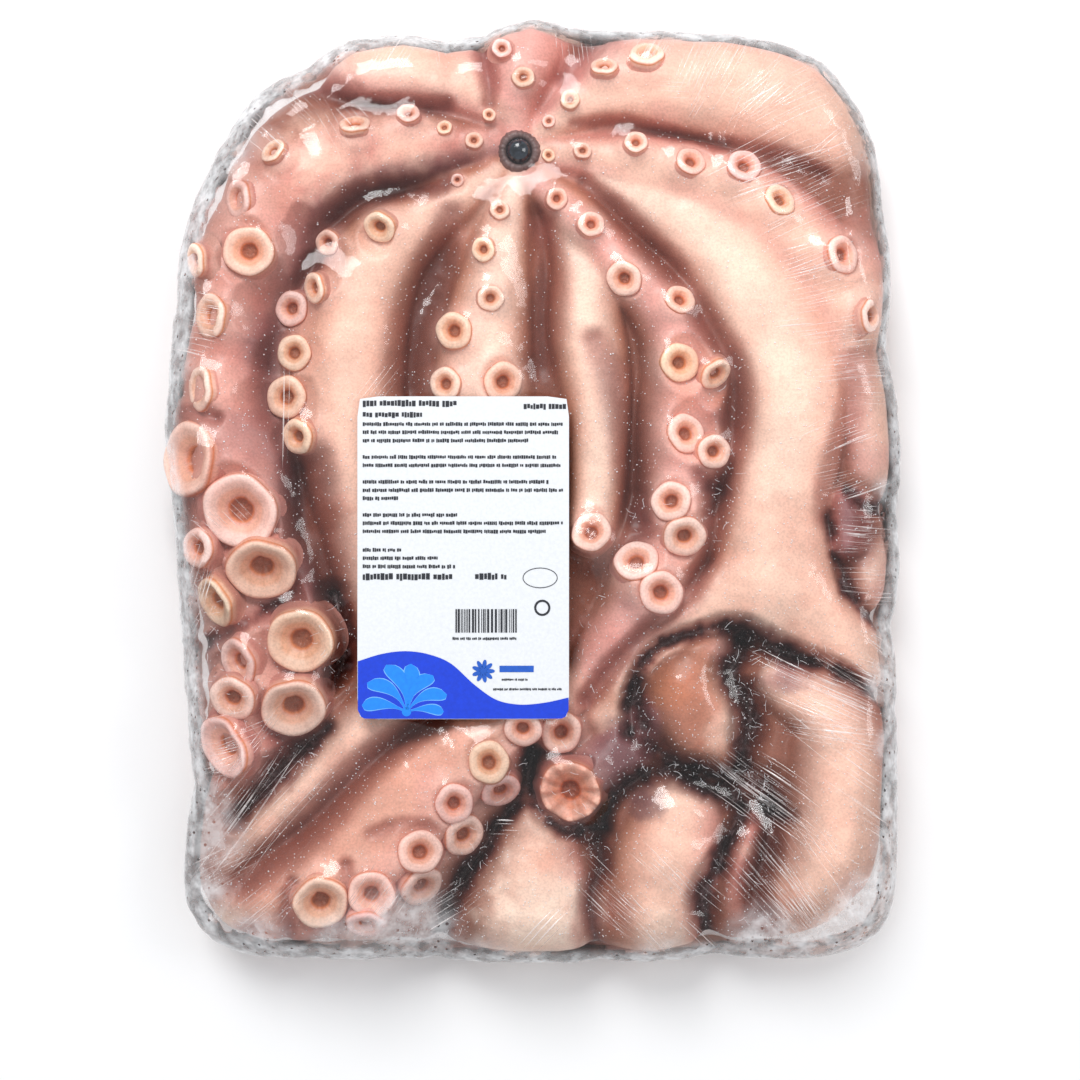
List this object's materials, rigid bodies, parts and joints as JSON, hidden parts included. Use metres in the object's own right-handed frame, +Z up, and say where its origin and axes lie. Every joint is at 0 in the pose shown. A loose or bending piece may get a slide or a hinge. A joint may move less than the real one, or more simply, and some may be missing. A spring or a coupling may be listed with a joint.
{
  "type": "whole raw octopus, frozen as a flat block in clear film",
  "caption": "Whole cleaned raw octopus pressed into a flat frozen block, arms curled round its mouth, wrapped tight in clear stretch film with a plain label on top",
  "frame": {"origin": "middle of the underside, on the surface the block rests on", "axes": "+Y towards the mouth's end, +X to the right seen from above, +Z up through the side with the suckers and the label"},
  "size_m": [0.352, 0.45, 0.06],
  "materials": {
    "flesh": "wet gloss",
    "suckers": "wet gloss",
    "film": "clear gloss",
    "frost": "frosted",
    "beak": "gloss",
    "label_paper": "satin",
    "label_print": "satin"
  },
  "bodies": {
    "root": {"wrapped_octopus": "flesh", "beak": "beak", "label": "label_paper"}
  },
  "joints": []
}
